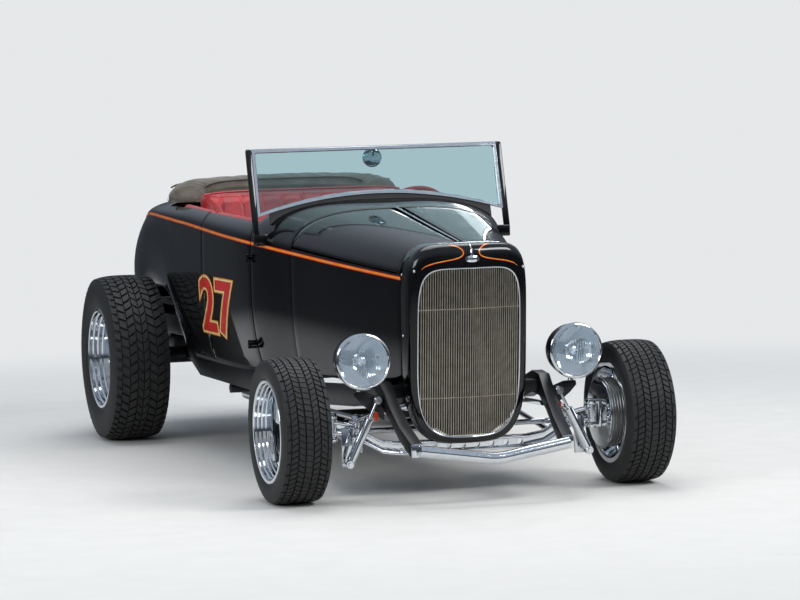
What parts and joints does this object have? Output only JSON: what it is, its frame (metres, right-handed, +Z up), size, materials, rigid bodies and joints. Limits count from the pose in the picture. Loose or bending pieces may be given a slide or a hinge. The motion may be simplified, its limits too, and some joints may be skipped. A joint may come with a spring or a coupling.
{
  "type": "roadster",
  "caption": "Open two-seat street rod on a bare ladder frame, with a tall barred grille, free-standing headlights, low windshield and folded top",
  "frame": {"origin": "on the ground, midway between the two ends of the car and between its sides", "axes": "+Z up, the nose points to -Y, +X is the car's own left"},
  "size_m": [1.74, 3.893, 1.364],
  "materials": {
    "paint": "deep gloss black",
    "brass_bars": "satin",
    "iron": "satin black",
    "chrome": "polished",
    "alloy": "cast, finned",
    "tyre": "matt black",
    "leather": "red, soft gloss",
    "canvas": "grey-brown cloth",
    "carpet": "dark carpet over sheet",
    "glass": "clear, pale green"
  },
  "bodies": {
    "car": {"hood_side_left": "paint", "hood_side_right": "paint", "cowl": "paint", "rear_body": "paint", "grille_shell": "paint", "dash": "paint", "frame": "paint", "fuel_tank": "paint", "grille_insert": "brass_bars", "radiator": "iron", "engine_block": "iron", "front_axle": "iron", "front_spring": "iron", "hood_hinge": "chrome", "windshield_frame": "chrome", "spreader_bar": "chrome", "shock_left": "chrome", "shock_right": "chrome", "radius_rod_left": "chrome", "radius_rod_right": "chrome", "rear_axle": "chrome", "rear_bar": "chrome", "exhaust": "chrome", "headlight_left": "chrome", "headlight_right": "chrome", "seat_cushion": "leather", "seat_back": "leather", "folded_top": "canvas", "floor": "carpet", "windshield_glass": "glass"},
    "door_left": {"door_left": "paint"},
    "door_right": {"door_right": "paint"},
    "deck_lid": {"deck_lid": "paint"},
    "hood_left": {"hood_top_left": "paint"},
    "hood_right": {"hood_top_right": "paint"},
    "steering_wheel": {"steering_wheel": "leather"},
    "knuckle_left": {"knuckle_left": "iron"},
    "knuckle_right": {"knuckle_right": "iron"},
    "tie_rod": {"tie_rod": "chrome"},
    "wheel_front_left": {"tyre_front_left": "tyre", "rim_front_left": "chrome", "drum_left": "alloy"},
    "wheel_front_right": {"tyre_front_right": "tyre", "rim_front_right": "chrome", "drum_right": "alloy"},
    "wheel_rear_left": {"tyre_rear_left": "tyre", "rim_rear_left": "chrome"},
    "wheel_rear_right": {"tyre_rear_right": "tyre", "rim_rear_right": "chrome"}
  },
  "joints": [
    {"name": "steering", "type": "hinge", "parent": "car", "child": "steering_wheel", "pos_m": [0.31, -0.0335, 0.99], "axis": [0, 0.914, 0.4058], "range_deg": [-300, 300]},
    {"name": "steer_left", "type": "hinge", "parent": "car", "child": "knuckle_left", "pos_m": [0.545, -1.5135, 0.288], "axis": [0, 0, 1], "range_deg": [-24, 24]},
    {"name": "steer_right", "type": "hinge", "parent": "car", "child": "knuckle_right", "pos_m": [-0.545, -1.5135, 0.288], "axis": [0, 0, 1], "range_deg": [-24, 24]},
    {"name": "tie_rod_pivot", "type": "hinge", "parent": "knuckle_left", "child": "tie_rod", "pos_m": [0.545, -1.3835, 0.2525], "axis": [0, 0, 1], "range_deg": [-24, 24]},
    {"name": "roll_front_left", "type": "hinge", "parent": "knuckle_left", "child": "wheel_front_left", "pos_m": [0.713, -1.5135, 0.288], "axis": [1, 0, 0], "continuous": true},
    {"name": "roll_front_right", "type": "hinge", "parent": "knuckle_right", "child": "wheel_front_right", "pos_m": [-0.713, -1.5135, 0.288], "axis": [1, 0, 0], "continuous": true},
    {"name": "roll_rear_left", "type": "hinge", "parent": "car", "child": "wheel_rear_left", "pos_m": [0.734, 1.1785, 0.381], "axis": [1, 0, 0], "continuous": true},
    {"name": "roll_rear_right", "type": "hinge", "parent": "car", "child": "wheel_rear_right", "pos_m": [-0.734, 1.1785, 0.381], "axis": [1, 0, 0], "continuous": true},
    {"name": "door_left_hinge", "type": "hinge", "parent": "car", "child": "door_left", "pos_m": [0.5661, -0.4135, 0.7], "axis": [0, 0, -1], "range_deg": [0, 65]},
    {"name": "door_right_hinge", "type": "hinge", "parent": "car", "child": "door_right", "pos_m": [-0.5661, -0.4135, 0.7], "axis": [0, 0, 1], "range_deg": [0, 65]},
    {"name": "deck_lid_hinge", "type": "hinge", "parent": "car", "child": "deck_lid", "pos_m": [0, 1.2495, 1.1216], "axis": [1, 0, 0], "range_deg": [0, 50]},
    {"name": "hood_left_hinge", "type": "hinge", "parent": "car", "child": "hood_left", "pos_m": [0, -1.5335, 1], "axis": [0, -0.9909, -0.1346], "range_deg": [0, 65]},
    {"name": "hood_right_hinge", "type": "hinge", "parent": "car", "child": "hood_right", "pos_m": [0, -1.5335, 1], "axis": [0, 0.9909, 0.1346], "range_deg": [0, 65]}
  ],
  "couplings": [
    {"joint": "steer_left", "follows": "steering", "ratio": 0.08},
    {"joint": "steer_right", "follows": "steering", "ratio": 0.08},
    {"joint": "tie_rod_pivot", "follows": "steering", "ratio": -0.08}
  ]
}
